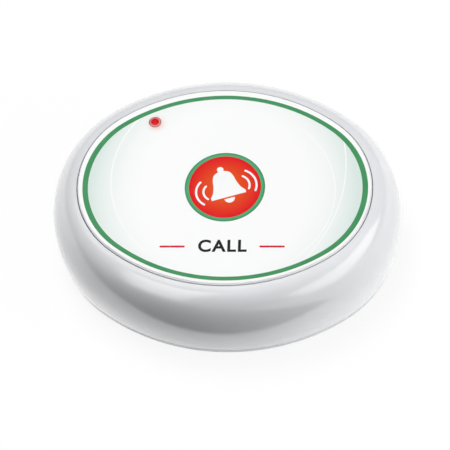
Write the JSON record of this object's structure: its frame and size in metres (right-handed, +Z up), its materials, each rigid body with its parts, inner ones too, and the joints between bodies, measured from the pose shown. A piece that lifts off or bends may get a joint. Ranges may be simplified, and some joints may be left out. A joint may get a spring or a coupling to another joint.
{
  "type": "nurse call button",
  "caption": "Oval pebble-shaped wireless call button: the whole printed face is a sprung key, with an indicator light and a battery door underneath.",
  "frame": {"origin": "centre of the footprint on the table", "axes": "+X along the length, to the right as the face is read; +Y to the far side; +Z up out of the face"},
  "size_m": [0.086, 0.0696, 0.0242],
  "materials": {
    "case_white": "high gloss moulded ABS",
    "base_white": "fine spark-eroded ABS",
    "printed_film": "reverse printed polyester film",
    "lens_red": "tinted epoxy",
    "foot_rubber": "matte",
    "seal_silicone": "satin",
    "zinc_steel": "zinc plated",
    "spring_steel": "drawn wire",
    "tinned_metal": "tinned",
    "board_laminate": "solder mask",
    "black_moulding": "moulded",
    "ivory_moulding": "moulded",
    "resistor_ceramic": "coated ceramic",
    "capacitor_sleeve": "shrink sleeve",
    "antenna_copper": "enamelled copper",
    "cell_jacket": "shrink jacket"
  },
  "bodies": {
    "housing": {"top_shell": "case_white", "base_shell": "base_white", "case_seal": "seal_silicone", "case_screws": "zinc_steel", "rubber_feet": "foot_rubber", "return_springs": "spring_steel", "circuit_board": "board_laminate", "board_screws": "zinc_steel", "switch_body": "black_moulding", "switch_cover": "tinned_metal", "switch_terminals": "tinned_metal", "indicator_led": "lens_red", "led_spacer": "ivory_moulding", "led_leads": "tinned_metal", "encoder_chip": "black_moulding", "chip_pins": "tinned_metal", "resonator_can": "tinned_metal", "capacitor": "capacitor_sleeve", "chip_resistors": "resistor_ceramic", "antenna_coil": "antenna_copper", "battery_cell": "cell_jacket", "cell_cap": "tinned_metal", "positive_contact": "tinned_metal", "negative_contact": "tinned_metal", "contact_spring": "spring_steel"},
    "key": {"key_plate": "case_white", "face_label": "printed_film", "key_screws": "zinc_steel"},
    "plunger": {"switch_plunger": "ivory_moulding"},
    "door": {"battery_door": "base_white"}
  },
  "joints": [
    {"name": "key_press", "type": "slide", "parent": "housing", "child": "key", "axis": [0, 0, -1], "range_m": [0, 0.0005], "stiffness_N_per_m": 1500, "springref_m": -0.001, "deforming": ["return_springs"]},
    {"name": "plunger_slide", "type": "slide", "parent": "housing", "child": "plunger", "axis": [0, 0, -1], "range_m": [0, 0.00055]},
    {"name": "door_hinge", "type": "hinge", "parent": "housing", "child": "door", "pos_m": [0.0187, -0.0155, 0.0008], "axis": [0, -1, 0], "range_deg": [0, 75]}
  ],
  "couplings": [
    {"joint": "plunger_slide", "follows": "key_press", "ratio": 1}
  ]
}
